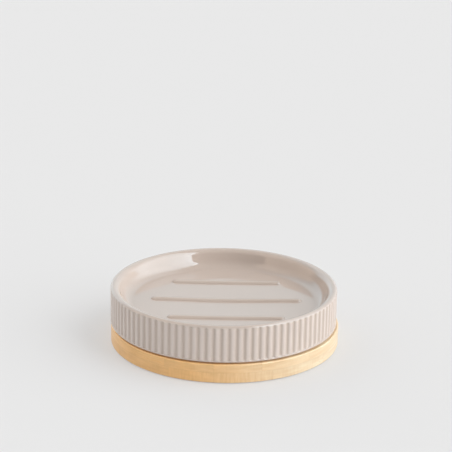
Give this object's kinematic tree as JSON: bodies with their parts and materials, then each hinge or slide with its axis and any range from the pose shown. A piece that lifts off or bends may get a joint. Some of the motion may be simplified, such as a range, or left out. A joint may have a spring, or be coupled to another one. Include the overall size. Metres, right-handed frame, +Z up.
{
  "type": "soap dish",
  "caption": "Round glazed ceramic soap dish with a reeded wall and raised drain ridges, resting in a turned seat on a glued bamboo disc with soft pads; the dish lifts off.",
  "frame": {"origin": "centre of the base disc on the surface that its pads stand on", "axes": "+Z up, -Y the front, from which the drain ridges run left to right along X and the bamboo shows its end grain"},
  "size_m": [0.1203, 0.12, 0.0306],
  "materials": {
    "glaze": "glossy warm greige glaze, bare clay on the foot ring",
    "bamboo": "pale golden bamboo, fine sanded with a clear satin lacquer",
    "pad": "translucent soft silicone, matte"
  },
  "bodies": {
    "base": {"lower_strip_1": "bamboo", "lower_strip_2": "bamboo", "lower_strip_3": "bamboo", "lower_strip_4": "bamboo", "lower_strip_5": "bamboo", "lower_strip_6": "bamboo", "upper_strip_1": "bamboo", "upper_strip_2": "bamboo", "upper_strip_3": "bamboo", "upper_strip_4": "bamboo", "upper_strip_5": "bamboo", "upper_strip_6": "bamboo", "back_right_pad": "pad", "back_left_pad": "pad", "front_left_pad": "pad", "front_right_pad": "pad"},
    "dish": {"dish": "glaze"}
  },
  "joints": [
    {"name": "dish_lift", "type": "slide", "parent": "base", "child": "dish", "axis": [0, 0, 1], "range_m": [0, 0.04]}
  ]
}
